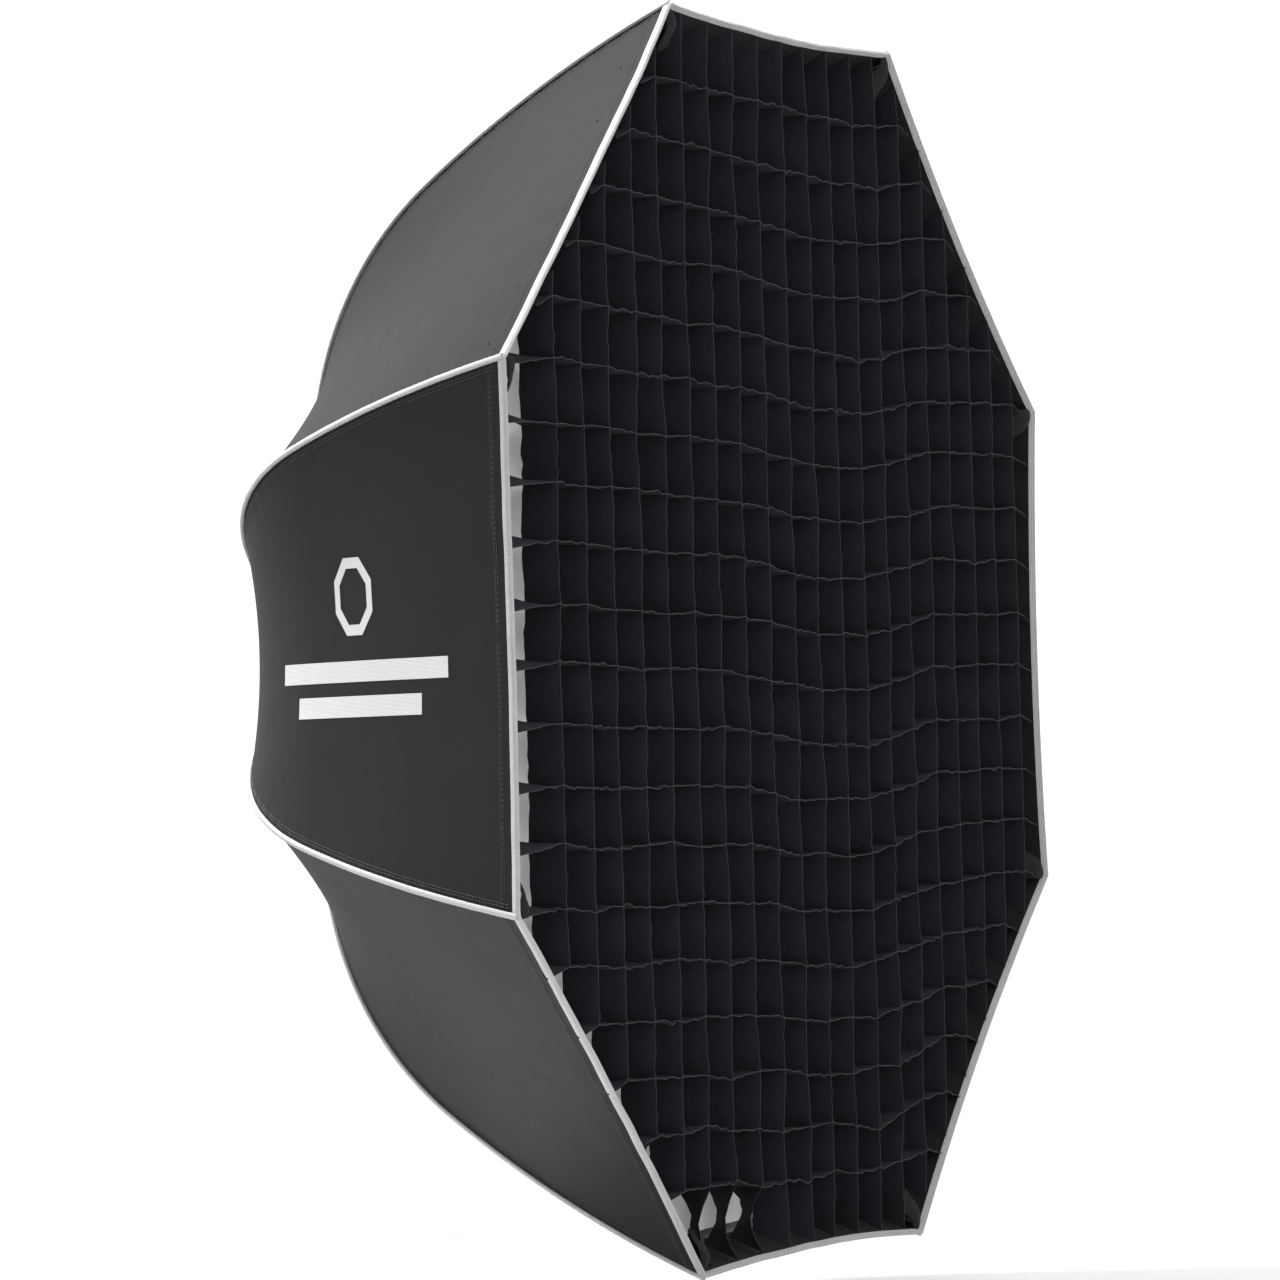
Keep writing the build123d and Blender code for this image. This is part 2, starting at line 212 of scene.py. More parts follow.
def material(name, colour, roughness=0.6, metallic=0.0, sheen=0.0, coat=0.0, spread=0.12,
             weave=None, bump=0.0, grain=None, grain_bump=0.0, edge=0.0,
             rough_spread=0.08, sheen_rough=0.4, specular=0.5, stretch=(1, 1, 1)):
    """A surface with colour and roughness that vary, and a weave, grain or brushing as bump."""
    mat = bpy.data.materials.new(name)
    mat.use_nodes = True
    nodes, links = mat.node_tree.nodes, mat.node_tree.links
    shader = nodes["Principled BSDF"]
    shader.inputs["Metallic"].default_value = metallic
    shader.inputs["Sheen Weight"].default_value = sheen
    shader.inputs["Sheen Roughness"].default_value = sheen_rough
    shader.inputs["Coat Weight"].default_value = coat
    shader.inputs["Coat Roughness"].default_value = 0.25
    shader.inputs["Specular IOR Level"].default_value = specular
    where = nodes.new("ShaderNodeTexCoord")
    source = where.outputs["UV"] if weave else where.outputs["Object"]
    patch = nodes.new("ShaderNodeTexNoise")
    patch.inputs["Scale"].default_value = 7
    patch.inputs["Detail"].default_value = 6
    patch.inputs["Roughness"].default_value = 0.62
    links.new(source, patch.inputs["Vector"])
    tones = nodes.new("ShaderNodeValToRGB")
    dark = [c * (1 - spread) for c in colour]
    light = [min(1.0, c * (1 + spread)) for c in colour]
    tones.color_ramp.elements[0].position, tones.color_ramp.elements[0].color = 0.3, (*dark, 1)
    tones.color_ramp.elements[1].position, tones.color_ramp.elements[1].color = 0.7, (*light, 1)
    links.new(patch.outputs["Fac"], tones.inputs["Fac"])
    links.new(tones.outputs["Color"], shader.inputs["Base Color"])
    fine = nodes.new("ShaderNodeTexNoise")
    fine.inputs["Scale"].default_value = 45
    fine.inputs["Detail"].default_value = 4
    links.new(source, fine.inputs["Vector"])
    gloss = nodes.new("ShaderNodeMapRange")
    gloss.inputs["From Min"].default_value, gloss.inputs["From Max"].default_value = 0.3, 0.7
    gloss.inputs["To Min"].default_value = max(0.05, roughness - rough_spread)
    gloss.inputs["To Max"].default_value = min(1.0, roughness + rough_spread)
    links.new(fine.outputs["Fac"], gloss.inputs["Value"])
    links.new(gloss.outputs["Result"], shader.inputs["Roughness"])
    normal = None
    if edge:
        rounding = nodes.new("ShaderNodeBevel")
        rounding.samples = 4
        rounding.inputs["Radius"].default_value = edge
        normal = rounding.outputs["Normal"]

    def add_bump(height, strength, distance):
        nonlocal normal
        b = nodes.new("ShaderNodeBump")
        b.inputs["Strength"].default_value = strength
        b.inputs["Distance"].default_value = distance
        links.new(height, b.inputs["Height"])
        if normal:
            links.new(normal, b.inputs["Normal"])
        normal = b.outputs["Normal"]

    if weave:
        both = nodes.new("ShaderNodeMath")
        both.operation = "ADD"
        for i, direction in enumerate(("X", "Y")):
            wave = nodes.new("ShaderNodeTexWave")
            wave.bands_direction = direction
            wave.inputs["Scale"].default_value = 0.314 / weave[i]
            wave.inputs["Distortion"].default_value = 0.6
            wave.inputs["Detail"].default_value = 1.0
            links.new(source, wave.inputs["Vector"])
            links.new(wave.outputs["Fac"], both.inputs[i])
        add_bump(both.outputs["Value"], bump, 0.0004)
    if grain:
        rough = nodes.new("ShaderNodeTexNoise")
        rough.inputs["Scale"].default_value = grain
        rough.inputs["Detail"].default_value = 5
        place = nodes.new("ShaderNodeMapping")
        place.inputs["Scale"].default_value = stretch
        links.new(source, place.inputs["Vector"])
        links.new(place.outputs["Vector"], rough.inputs["Vector"])
        add_bump(rough.outputs["Fac"], grain_bump, 0.0005)
    if normal:
        links.new(normal, shader.inputs["Normal"])
    return mat


CANOPY = material("canopy_cloth", (0.0126, 0.0121, 0.0125), 0.60, weave=(0.0007, 0.0007),
                  bump=0.12, grain=120, grain_bump=0.05, spread=0.04, specular=0.10,
                  rough_spread=0.02)
LINING = material("silver_lining", (0.55, 0.55, 0.56), 0.38, metallic=0.75, weave=(0.0016, 0.0016),
                  bump=0.6, grain=60, grain_bump=0.5, spread=0.06)
PIPING = material("piping", (0.44, 0.44, 0.45), 0.75, sheen=0.05, weave=(0.0009, 0.0012), bump=0.7,
                  grain=300, grain_bump=0.2, spread=0.07)
BINDING = material("rim_binding", (0.46, 0.46, 0.47), 0.75, sheen=0.05, weave=(0.0012, 0.0008),
                   bump=0.8, grain=260, grain_bump=0.2, spread=0.08)
TAPE = material("rim_tape", (0.012, 0.012, 0.013), 0.85, sheen=0.02, weave=(0.001, 0.001), bump=0.8,
                grain=400, grain_bump=0.4, specular=0.15)
THREAD = material("thread", (0.055, 0.054, 0.055), 0.6, sheen=0.05, weave=(0.0004, 0.0004), bump=0.5)
GRID = material("grid_cloth", (0.0195, 0.0188, 0.0250), 0.8, sheen=0.01, weave=(0.0012, 0.0012),
                bump=0.6, grain=150, grain_bump=0.2, spread=0.14, specular=0.12)
# Front edge faces of the grid strips: the same black cloth painted a little lighter, a painted highlight
# where light catches the edges
GRID_EDGE_HIGHLIGHT = material("grid_edge_painted_highlight", (0.028, 0.028, 0.034), 0.75, sheen=0.02, weave=(0.0008, 0.0008), bump=0.5,
                     specular=0.15)
DIFFUSION = material("diffusion_cloth", (0.84, 0.84, 0.83), 0.7, sheen=0.15, weave=(0.0009, 0.0009),
                     bump=0.5, grain=80, grain_bump=0.2, spread=0.02)
WEBBING = material("webbing", (0.014, 0.014, 0.015), 0.75, sheen=0.04, weave=(0.0022, 0.0016), bump=1.0,
                   grain=200, grain_bump=0.2, specular=0.2)
ELASTIC = material("elastic", (0.018, 0.018, 0.019), 0.7, sheen=0.05, weave=(0.0014, 0.003), bump=1.0,
                   specular=0.2)
PRINT = material("print", (0.52, 0.52, 0.53), 0.5, weave=(0.0011, 0.0011), bump=0.4, grain=260,
                 grain_bump=0.2, spread=0.06)
RIB_STEEL = material("rib_steel", (0.42, 0.42, 0.43), 0.3, metallic=1, grain=260, grain_bump=0.12,
                     edge=0.0004, spread=0.08)
STRUT_METAL = material("strut_metal", (0.03, 0.03, 0.031), 0.42, coat=0.2, grain=500, grain_bump=0.15,
                       edge=0.0006)
MOUNT_METAL = material("mount_metal", (0.56, 0.56, 0.57), 0.34, metallic=1, grain=90, grain_bump=0.12,
                       edge=0.0005, spread=0.07, stretch=(1, 14, 1))
POST_METAL = material("post_metal", (0.60, 0.60, 0.61), 0.28, metallic=1, grain=160, grain_bump=0.1,
                      edge=0.0003, stretch=(1, 0.1, 1))
SCREW_STEEL = material("fastener_steel", (0.33, 0.33, 0.34), 0.35, metallic=1, grain=300, grain_bump=0.1,
                       edge=0.0003)
CROWN = material("crown_plastic", (0.018, 0.018, 0.019), 0.52, grain=900, grain_bump=0.3, edge=0.0009)
RUNNER = material("runner_plastic", (0.024, 0.024, 0.025), 0.5, grain=900, grain_bump=0.3, edge=0.0009)
BUTTON = material("button_plastic", (0.42, 0.020, 0.014), 0.35, coat=0.3, grain=700, grain_bump=0.1,
                  edge=0.0005)

for names, finish in (
    ([f"rib_{i}" for i in range(1, 9)], RIB_STEEL),
    ([f"strut_{i}" for i in range(1, 9)], STRUT_METAL),
    (["mount_plate"], MOUNT_METAL),
    (["plate_screws", "hinge_pins"], SCREW_STEEL),
    (["guide_posts"], POST_METAL),
    (["crown", "stop_ring"], CROWN),
    (["runner"], RUNNER),
    (["release_button_right", "release_button_left"], BUTTON),
):
    for name in names:
        NODES[name].data.materials.clear()
        NODES[name].data.materials.append(finish)


# Canopy

ROWS = 110
COLS = 26


def rows_from(a, b, n):
    return [a + (b - a) * i / (n - 1) for i in range(n)]


# Distances from the rim at which every layer of the canopy is drawn, so that no layer cuts through another
HEM_STATIONS = [0.0, 0.003, 0.006, 0.010, 0.014, 0.018, 0.019, 0.020, 0.021, 0.022, 0.024, 0.028,
                0.034, 0.040, 0.046, 0.052, 0.058]
STATIONS = HEM_STATIONS + rows_from(0.064, SEAM_LENGTH, ROWS)


COLLAR_COVER_R = 0.131      # inside this radius the collar hides the seams
PIPING_END = SEAM_LENGTH - (COLLAR_COVER_R - HUB_R) / sin(SLOPES[2])
PIPING_TAPER = 0.008        # length over which the piping thins out at its rear end


def canopy_sheet(number, outer, inner, name, finish, s_range):
    """Both halves beside a rib, as one closed sheet with its fold on the seam."""
    angle = CORNERS[number - 1]
    ts = rows_from(-1, 1, 2 * COLS + 1)
    top, bottom, uvs = [], [], []
    for s in [s for s in STATIONS if s_range[0] <= s <= s_range[1]]:
        top.append([panel_point(angle, t, s, outer) for t in ts])
        bottom.append([panel_point(angle, t, s, inner) for t in ts])
        width = seam(s, outer)[0] * sin(HALF)
        uvs.append([(t * width, s) for t in ts])
    heap = Heap()
    heap.shell(top, bottom, uvs)
    obj = heap.build(name, finish)
    return soft(obj, number, "rib")


def half_panel_area(s0, s1):
    """Area of the two half panels beside a rib, laid flat."""
    steps, area = 60, 0.0
    for i in range(steps):
        s = s0 + (s1 - s0) * (i + 0.5) / steps
        r, _, a = seam(s, 0.001)
        slant = sqrt(cos(a) ** 2 + (sin(a) * cos(HALF)) ** 2)
        area += 2 * r * sin(HALF) * slant * (s1 - s0) / steps
    return area


def oval(centre, across, up, half_width, half_height, n=12):
    return [
        centre + across * (half_width * cos(2 * pi * i / n)) + up * (half_height * sin(2 * pi * i / n))
        for i in range(n)
    ]


def stitch(heap, a, b, out, size=0.00032):
    """One stitch, from a to b, standing a little proud of the cloth."""
    run = (b - a).normalized()
    side = run.cross(out).normalized()
    rings = []
    places = ((a, 0.5, -0.3), (a.lerp(b, 0.25), 1, 0.7), (a.lerp(b, 0.75), 1, 0.7), (b, 0.5, -0.3))
    for p, scale, lift in places:
        rings.append(oval(p + out * size * lift, side, out, size * scale, size * scale, 5))
    heap.tube(rings, [[(i * 0.001, k * 0.001) for i in range(5)] for k in range(4)])


for number, angle in enumerate(CORNERS, start=1):
    rho, tau = radial(angle), tangent(angle)
    cloth = canopy_sheet(number, 0.0010, 0.0017, f"canopy_cloth_{number}", CANOPY, (0.0, SEAM_LENGTH))
    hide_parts(f"canopy_{number}")
    half_panel_area(0, SEAM_LENGTH)
    lining = canopy_sheet(number, 0.0024, 0.0030, f"lining_{number}", LINING, (0.052, SEAM_LENGTH))
    half_panel_area(0.052, SEAM_LENGTH)
    tape = canopy_sheet(number, 0.0024, 0.0034, f"rim_tape_{number}", TAPE, (0.006, 0.052))
    half_panel_area(0.006, 0.052)

    heap, rings, uvs = Heap(), [], []
    for s in rows_from(0.0, PIPING_END, 200):
        r, y, a = seam(s, 0.0002)
        wobble = 0.00025 * noise.noise(Vector((s * 40, number * 3.7, 0)))
        up = rho * cos(a) + Vector((0, sin(a), 0))
        grow = (1 + 0.04 * sin(2 * pi * s / 0.006)) * (0.35 + 0.65 * smooth((PIPING_END - s) / PIPING_TAPER))
        centre = rho * r + Vector((0, y, 0)) + tau * wobble + up * 0.0008
        rings.append(oval(centre, tau, up, 0.0029 * grow, 0.0021 * grow, 14))
        uvs.append([(0.018 * i / 14, s) for i in range(14)])
    heap.tube(rings, uvs)
    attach(heap.build(f"piping_{number}", PIPING, sharp=60), f"rib_{number}")

    heap, rings, uvs = Heap(), [], []
    outline = [(-0.0019, 0.0050), (-0.0019, 0.001), (-0.0017, -0.0006), (-0.0008, -0.0014),
               (0.0012, -0.0014), (0.0022, -0.0006), (0.0025, 0.001), (0.0025, 0.0050),
               (0.0014, 0.0055), (-0.0012, 0.0055)]
    for t in rows_from(-1, 1, 4 * COLS + 1):
        ring = []
        for depth_in, depth_s in outline:
            base = panel_point(angle, t, max(0.0, depth_s), 0.0013 + depth_in)
            if depth_s < 0:
                base += Vector((0, depth_s, 0))
            ring.append(base)
        rings.append(ring)
        uvs.append([(0.22 * t, 0.002 * k) for k in range(len(outline))])
    heap.tube(rings, uvs)
    soft(heap.build(f"rim_binding_{number}", BINDING, sharp=50), number, "rib")

    heap = Heap()
    pitch = 0.0045
    for offset in (0.0052, 0.0078):
        count = int((SEAM_LENGTH - 0.03) / pitch)
        for k in range(count):
            s0 = 0.012 + k * pitch
            s1 = s0 + pitch * 0.68
            for side in (-1, 1):
                p, q = [
                    panel_point(angle, side * offset / (seam(s, 0)[0] * sin(HALF)), s, 0.0009)
                    for s in (s0, s1)
                ]
                a = seam(s0, 0)[2]
                out = radial(angle + side * HALF) * cos(a) + Vector((0, sin(a) * cos(HALF), 0))
                stitch(heap, p, q, out.normalized())
    for depth in (0.0165, 0.0195):
        width = seam(depth, 0)[0] * sin(HALF)
        count = int((width - 0.012) / pitch)
        for side in (-1, 1):
            for k in range(count):
                t0 = side * (0.010 + k * pitch) / width
                t1 = side * (0.010 + (k + 0.68) * pitch) / width
                p, q = [panel_point(angle, t, depth, 0.0009) for t in (t0, t1)]
                a = SLOPES[0]
                out = radial(angle + side * HALF) * cos(a) + Vector((0, sin(a) * cos(HALF), 0))
                stitch(heap, p, q, out.normalized())
    soft(heap.build(f"stitching_{number}", THREAD, sharp=60), number, "rib")


# Printed mark on the left panel: an eight-sided outline over two plain bars

def print_point(z, s, inset):
    """A point of the panel that faces -X, by height and by distance along the seam."""
    number = 4 if z >= 0 else 5
    side = 1 if number == 4 else -1
    w = abs(z) / (seam(s, 0)[0] * sin(HALF))
    return panel_point(CORNERS[number - 1], side * (1 - w), s, inset)


def printed(name, number, quads):
    """quads: each four (z, s) corners of one part of the mark."""
    heap = Heap()
    for corners in quads:
        n = 16
        layers = []
        for inset in (0.00065, 0.00085):
            layers.append([
                [
                    print_point(
                        (corners[0][0] * (1 - u) + corners[1][0] * u) * (1 - v)
                        + (corners[3][0] * (1 - u) + corners[2][0] * u) * v,
                        (corners[0][1] * (1 - u) + corners[1][1] * u) * (1 - v)
                        + (corners[3][1] * (1 - u) + corners[2][1] * u) * v,
                        inset,
                    )
                    for u in [i / n for i in range(n + 1)]
                ]
                for v in [i / n for i in range(n + 1)]
            ])
        uvs = [[(p.z, p.y) for p in row] for row in layers[0]]
        heap.shell(layers[0], layers[1], uvs)
    return soft(heap.build(name, PRINT), number, "rib")


MARK_S = 0.245
emblem = []
for k in range(8):
    a0, a1 = HALF + 2 * HALF * k, HALF + 2 * HALF * (k + 1)
    emblem.append([
        (0.042 + 0.036 * sin(a0), MARK_S + 0.036 * cos(a0)),
        (0.042 + 0.036 * sin(a1), MARK_S + 0.036 * cos(a1)),
        (0.042 + 0.026 * sin(a1), MARK_S + 0.026 * cos(a1)),
        (0.042 + 0.026 * sin(a0), MARK_S + 0.026 * cos(a0)),
    ])
printed("mark_outline", 4, emblem)
bars = []
for z, half_length in ((-0.022, 0.150), (-0.052, 0.110)):
    bars.append([
        (z - 0.009, MARK_S - half_length), (z - 0.009, MARK_S + half_length),
        (z + 0.009, MARK_S + half_length), (z + 0.009, MARK_S - half_length),
    ])
printed("mark_bars", 5, bars)


# Grid

def wall(depth, along):
    """Distance from the axis to the inside of a panel, at a depth behind the rim and along the panel."""
    s = depth / cos(SLOPES[0])
    r, _, a = seam(s, 0.0028)
    w = min(1.0, abs(along) / (r * sin(HALF)))
    return r * cos(HALF) - slack(s, w) * cos(a) - 0.0035


def reach_of(c, depth):
    """How far a strip at the offset c runs to each side before it meets the canopy."""
    c = abs(c)
    flat = wall(depth, c)
    slanted = flat * sqrt(2) - c
    if slanted < flat:
        along = (slanted - c) / sqrt(2)
        slanted = wall(depth, along) * sqrt(2) - c
        return slanted
    return flat


def chance(i, k, seed):
    return noise.noise(Vector((i * 7.31 + seed * 13.7, k * 5.17 - seed * 3.3, seed * 1.9)))


# How far a level strip hangs below straight, from left to right
DIPS = [(-0.56, 0), (-0.40, -0.005), (-0.12, -0.009), (-0.03, -0.018), (0.02, -0.024), (0.17, -0.024),
        (0.30, -0.004), (0.56, 0)]


def dip(x):
    for (x0, z0), (x1, z1) in zip(DIPS, DIPS[1:]):
        if x <= x1:
            return z0 + (z1 - z0) * max(0.0, x - x0) / (x1 - x0)
    return 0.0


def node_shift(i, k):
    """How far a crossing of the strips has moved: along x and z, and out of the front."""
    x = GRID_CENTRE[0] + (i - (GRID_BARS - 1) / 2) * GRID_PITCH
    z = GRID_CENTRE[1] + (k - (GRID_BARS - 1) / 2) * GRID_PITCH
    near = max(abs(x), abs(z), (abs(x) + abs(z)) / sqrt(2))
    inside = smooth((0.542 - near) / 0.09)
    dz = dip(x) * (1 - (z / 0.57) ** 4) + 0.006 * chance(i, k, 1)
    dx = 0.006 * chance(i, k, 2)
    if x < -0.43:
        dx += 0.010 * smooth((z - 0.02) / 0.3) - 0.002
    if z < -0.36:
        dz += 0.010 * chance(i * 1.7, k, 5)
        dx += 0.006 * chance(i * 1.7, k, 6)
    dy = 0.0016 * chance(i, k, 3)
    return Vector((dx, max(0.0, dy), dz)) * inside


def shifted(x, z):
    gx = (x - GRID_CENTRE[0]) / GRID_PITCH + (GRID_BARS - 1) / 2
    gz = (z - GRID_CENTRE[1]) / GRID_PITCH + (GRID_BARS - 1) / 2
    i, k = floor(gx), floor(gz)
    u, v = gx - i, gz - k
    low = node_shift(i, k).lerp(node_shift(i + 1, k), u)
    high = node_shift(i, k + 1).lerp(node_shift(i + 1, k + 1), u)
    return low.lerp(high, v)


DEPTHS = [0.0, 0.011, 0.022, GRID_DEPTH]
STRIP_HALF = 0.00035
sectors = {i: Heap() for i in range(1, SIDES + 1)}
sector_area = {i: 0.0 for i in sectors}


def sector_of(x, z):
    return int((atan2(z, x) % (2 * pi)) / (2 * HALF)) % SIDES + 1


def strip(level, c, index):
    """One strip of the grid. A level strip runs along x at the height c, an upright along z."""
    lengths = [reach_of(c, d) for d in DEPTHS]
    full = lengths[0]
    offset = GRID_CENTRE[0] if level else GRID_CENTRE[1]
    stops = {-full, 0.0, full, -abs(c), abs(c)}
    crossings = [offset + (i - (GRID_BARS - 1) / 2) * GRID_PITCH for i in range(GRID_BARS)]
    stops |= {x for x in crossings if abs(x) < full - 0.012}
    stops = sorted(x for x in stops if abs(x) <= full + 1e-9)
    stops = [x for n, x in enumerate(stops) if n == 0 or x - stops[n - 1] > 1e-6]
    first = min((x for x in crossings if abs(x) < full - 0.012), default=0)
    last = max((x for x in crossings if abs(x) < full - 0.012), default=0)
    def section(u):
        """Points at each depth, on both faces of the strip, at u along it."""
        out_left = smooth((first - u) / max(1e-6, first + full))
        out_right = smooth((u - last) / max(1e-6, full - last))
        end = max(out_left, out_right)
        if level:
            slant = max((first - u) / max(1e-6, first + full), (u - last) / max(1e-6, full - last), 0.0)
            turn = radians(33) * (1 + 0.5 * chance(index, 3, 9)) * slant
        elif -0.5 < c < -0.1 and u < first:
            turn = radians(52) * sin(pi * (first - u) / (first + full)) ** 0.7
        else:
            turn = radians(12) * end * (1 if c > 0 else -1)
        turn += radians(11) * chance(u * 21, c * 37, 11) * (1 - end)
        ripple = 0.0022 * chance(u * 23, c * 31, 4) * (1 - end)
        base = shifted(u, c) if level else shifted(c, u)
        rings = []
        for d, length in zip(DEPTHS, lengths):
            along = u * (1 - (1 - length / full) * end)
            swing = (d - GRID_DEPTH / 2) * sin(turn)
            back = GRID_DEPTH / 2 + (d - GRID_DEPTH / 2) * cos(turn)
            crumple = 0.0007 * chance(u * 17, c * 19 + d * 40, 7) * (1 - end)
            curl = ripple * sin(pi * d / GRID_DEPTH) + crumple
            for side in (-STRIP_HALF, STRIP_HALF):
                cross = c + swing + curl + side
                p = Vector((along, 0, cross)) if level else Vector((cross, 0, along))
                rings.append(p + base + Vector((0, RIM_Y + 0.0015 + back, 0)))
        n = len(DEPTHS)
        order = [2 * i for i in range(n)] + [2 * i + 1 for i in range(n - 1, -1, -1)]
        return [rings[i] for i in order]

    n = len(DEPTHS)
    loose = not level and -0.5 < c < -0.2 and first + full < 0.06 and index != 3
    if loose:
        stops = [x for x in stops if x >= first - 1e-6]
    for a, b in zip(stops, stops[1:]):
        steps = max(1, ceil((b - a) / (0.0085)))
        us = [a + (b - a) * i / steps for i in range(steps + 1)]
        middle = (a + b) / 2
        number = sector_of(middle, c) if level else sector_of(c, middle)
        rings = [section(u) for u in us]
        uvs = [[(d, u) for d in DEPTHS] + [(d, u) for d in DEPTHS[::-1]] for u in us]
        # the last side of each strip is its front edge, which takes the second material, the painted
        # highlight
        marks = [0] * (2 * n - 1) + [1]
        sectors[number].tube(rings, uvs, marks=marks)
        sector_area[number] += (b - a) * GRID_DEPTH


for index in range(GRID_BARS):
    place = (index - (GRID_BARS - 1) / 2) * GRID_PITCH
    strip(True, GRID_CENTRE[1] + place, index)
    strip(False, GRID_CENTRE[0] + place, index)
for number, heap in sectors.items():
    obj = heap.build(f"grid_cloth_{number}", [GRID, GRID_EDGE_HIGHLIGHT], sharp=30)
    soft(obj, number, "cover_corner")
    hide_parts("grid")


# Front diffuser and inner baffle, in eight parts that meet on the middles of the sides

def sector_sheet(name, number, radius, y, thickness, finish, body, bulge, hang):
    """A 45 degree part of an eight-sided sheet; the corner is on the rib."""
    angle = CORNERS[number - 1]
    rows = 44
    cols = 22
    top, bottom, uvs = [], [], []
    for k in range(rows + 1):
        f = 0.004 + 0.996 * k / rows
        line_t, line_b, line_u = [], [], []
        for c in range(-cols, cols + 1):
            t = c / cols
            side = 1 if t >= 0 else -1
            m, e = radial(angle + side * HALF), tangent(angle + side * HALF)
            w = 1 - abs(t)
            p = m * (radius * cos(HALF) * f) + e * (-side * radius * sin(HALF) * w * f)
            p -= m * (hang(w) * f ** 8)
            pull = 0.0011 * sin(2 * pi * t * cols / 3.1 + number) * f ** 14 * (1 - f * 0.3)
            lift = -bulge * (1 - f * f) + 0.0016 * noise.noise(p * 9) * (1 - f ** 4) + pull
            q = p + Vector((0, y + lift, 0))
            line_t.append(q)
            line_b.append(q + Vector((0, thickness, 0)))
            line_u.append((p.x, p.z))
        top.append(line_t)
        bottom.append(line_b)
        uvs.append(line_u)
    heap = Heap()
    heap.shell(top, bottom, uvs)
    obj = heap.build(name, finish)
    soft(obj, number, body)
    return obj


for number, angle in enumerate(CORNERS, start=1):
    rho, tau, back = radial(angle), tangent(angle), Vector((0, 1, 0))
    setback = DIFFUSER_Y - RIM_Y
    wall_r = wall(setback, 1) / cos(HALF) - 0.001
    front = sector_sheet(
        f"diffuser_cloth_{number}", number, wall_r, DIFFUSER_Y, 0.0006, DIFFUSION, "baffle_corner", 0.004,
        lambda w: slack(setback / cos(SLOPES[0]), w) + 0.0010,
    )
    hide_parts("diffuser")
    middle = sector_sheet(
        f"baffle_cloth_{number}", number, BAFFLE_R, BAFFLE_Y, 0.0006, DIFFUSION, "baffle_corner", 0.003,
        lambda w: 0.012 * (1 - w * w),
    )
    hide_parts("inner_baffle")

    # Corner tab: webbing that narrows to the rib's tip, with a sewn end
    top, bottom, uvs = [], [], []
    for k in range(9):
        f = k / 8
        r = 0.560 + 0.0345 * f
        half = 0.015 * (1 - 0.55 * smooth(f))
        y = RIM_Y + 0.0110 - 0.0120 * smooth(1.6 * f) + 0.003 * smooth(3 * f - 2.2)
        pts = [rho * r + tau * (half * c / 8) + back * (y + 0.0030 * (c / 8) ** 2) for c in range(-8, 9)]
        top.append(pts)
        bottom.append([p + back * 0.0014 for p in pts])
        uvs.append([(half * c / 8, r) for c in range(-8, 9)])
    heap = Heap()
    heap.shell(top, bottom, uvs)
    tab = soft(heap.build(f"corner_tab_{number}", TAPE), number, "cover_corner")
    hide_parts(f"cover_tab_{number}")

    # Elastic strap from the baffle's corner to a loop round the rib
    lo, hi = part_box(f"baffle_strap_{number}")
    strap_y = (lo.y + hi.y) / 2
    outer_r = max(abs(lo.x), abs(hi.x), abs(lo.z), abs(hi.z)) / cos(HALF) - 0.009 * tan(HALF)
    top, bottom, uvs = [], [], []
    for k in range(25):
        f = k / 24
        r = 0.322 + (outer_r - 0.322) * f
        twist = radians(12) * sin(pi * f)
        bow = back * (0.0025 * sin(pi * f))
        row = []
        for c in range(-6, 7):
            across = (tau * cos(twist) + back * sin(twist)) * (0.009 * c / 6)
            row.append(rho * r + across + back * strap_y + bow)
        top.append(row)
        bottom.append([p + back * 0.0011 for p in row])
        uvs.append([(0.009 * c / 6, r) for c in range(-6, 7)])
    heap = Heap()
    heap.shell(top, bottom, uvs)
    strap = heap.build(f"elastic_strap_{number}", ELASTIC)
    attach(strap, f"baffle_corner_{number}")
    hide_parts(f"baffle_strap_{number}")


# Rear collar: cloth gathered over the hub, in a part for each rib, with a corded hem on both edges

COLLAR_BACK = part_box("rear_collar")[1].y - 0.0016
COLLAR_INNER_R, COLLAR_WIDTH = 0.0825, 0.0495


def collar_point(a, f):
    """A point of the collar by its angle round the axis, and from 0 at the inner edge to 1 at the outer."""
    fold = 0.0008 * sin(pi * f) * sin(24 * a) + 0.0005 * noise.noise(Vector((3 * cos(a), f * 3, 3 * sin(a))))
    y = COLLAR_BACK - COLLAR_WIDTH * f / tan(SLOPES[2]) + fold
    return radial(a) * (COLLAR_INNER_R + COLLAR_WIDTH * f + 0.2 * fold) + Vector((0, y, 0))


for number, angle in enumerate(CORNERS, start=1):
    top, bottom, uvs = [], [], []
    spread_angles = rows_from(angle - HALF, angle + HALF, 41)
    for f in rows_from(0, 1, 17):
        line = [collar_point(a, f) for a in spread_angles]
        top.append(line)
        bottom.append([p + Vector((0, 0.0009, 0)) for p in line])
        uvs.append([(a * 0.107, f * 0.053) for a in spread_angles])
    heap = Heap()
    heap.shell(top, bottom, uvs)
    collar = soft(heap.build(f"collar_cloth_{number}", WEBBING), number, "rib")
    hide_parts("rear_collar")
    heap = Heap()
    for f in (0.01, 0.995):
        rings = []
        for a in spread_angles:
            size = 0.0014 * (1 + 0.05 * sin(80 * a))
            centre = collar_point(a, f) + Vector((0, 0.0005, 0))
            rings.append(oval(centre, radial(a), Vector((0, 1, 0)), size, size, 10))
        heap.tube(rings, [[(0.001 * i, 0.107 * a) for i in range(10)] for a in spread_angles])
    soft(heap.build(f"collar_hem_{number}", ELASTIC, sharp=60), number, "rib")


# Camera: three-quarter view from the left

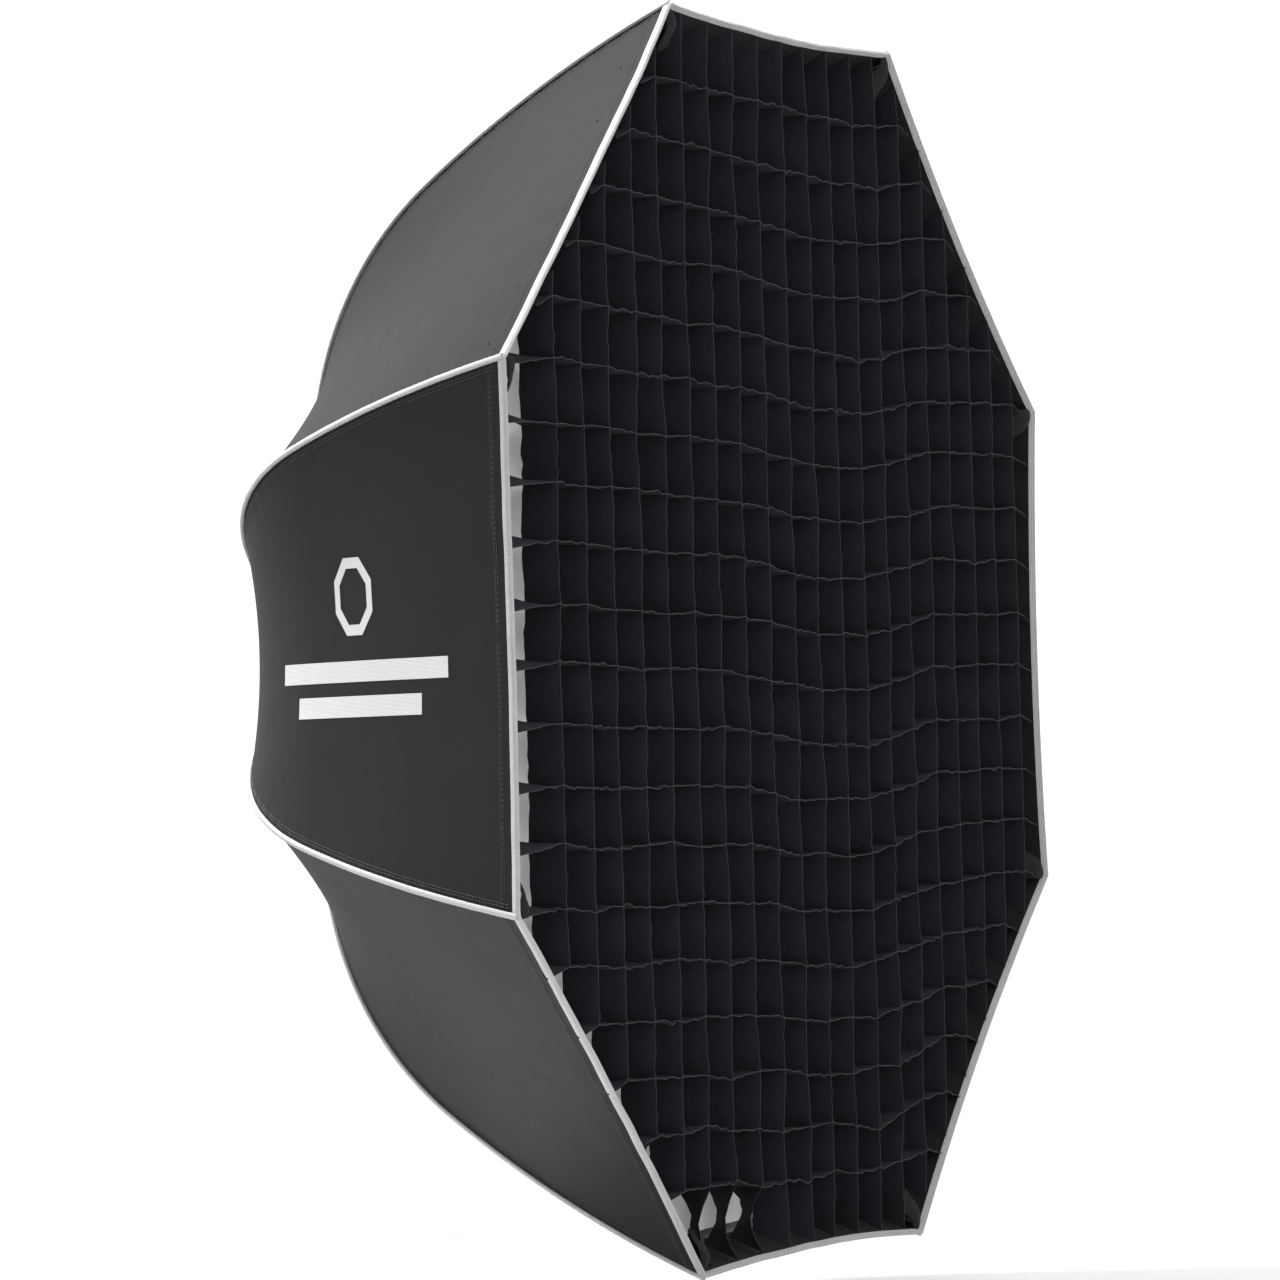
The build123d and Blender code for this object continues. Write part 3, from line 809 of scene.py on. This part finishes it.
azimuth, elevation, roll = radians(-63.0828), radians(-1.171), radians(-1.5534)
back = Vector((sin(azimuth) * cos(elevation), -cos(azimuth) * cos(elevation), sin(elevation)))
level_right = Vector((cos(azimuth), sin(azimuth), 0))
level_up = back.cross(level_right)
right = level_right * cos(roll) + level_up * sin(roll)
up = level_up * cos(roll) - level_right * sin(roll)
camera = bpy.data.objects.new("camera", bpy.data.cameras.new("camera"))
camera.data.sensor_width = 36
camera.data.lens = 163.5
camera.data.clip_end = 60
place = Matrix((right, up, back)).transposed().to_4x4()
place.translation = (-4.74865, -2.75894, -0.10303)
camera.matrix_world = place
bpy.context.scene.collection.objects.link(camera)
bpy.context.scene.camera = camera

# Floor, room and lights

floor_mesh = bpy.data.meshes.new("floor")
FLOOR_R, FLOOR_Z = 30.0, -0.62
floor_edge = [(FLOOR_R * cos(2 * pi * i / 96), FLOOR_R * sin(2 * pi * i / 96), FLOOR_Z) for i in range(96)]
floor_mesh.from_pydata(floor_edge, [], [tuple(range(96))])
floor_piece = bpy.data.objects.new("floor", floor_mesh)
PAPER = material("floor_paper", (0.86, 0.86, 0.86), 0.9, grain=40, grain_bump=0.05, spread=0.01)
floor_mesh.materials.append(PAPER)
bpy.context.scene.collection.objects.link(floor_piece)

world = bpy.data.worlds.new("room")
world.use_nodes = True
world.node_tree.nodes["Background"].inputs["Color"].default_value = (1, 1, 1, 1)
world.node_tree.nodes["Background"].inputs["Strength"].default_value = 1.2
bpy.context.scene.world = world


def area_light(name, location, aim, size, power, beam):
    light = bpy.data.lights.new(name, "AREA")
    light.shape = "DISK"
    light.size = size
    light.energy = power
    light.spread = radians(beam)
    obj = bpy.data.objects.new(name, light)
    obj.location = location
    obj.rotation_euler = (Vector(aim) - Vector(location)).to_track_quat("-Z", "Y").to_euler()
    bpy.context.scene.collection.objects.link(obj)


area_light("top_light", (-0.25, 0.45, 2.6), (-0.2, -0.2, 0.3), 0.8, 13, 34)
area_light("front_light", (1.5, -5.0, 1.6), (0, -0.3, 0), 2.0, 15, 180)

bpy.context.scene.view_settings.view_transform = "Standard"
bpy.context.scene.view_settings.look = "None"
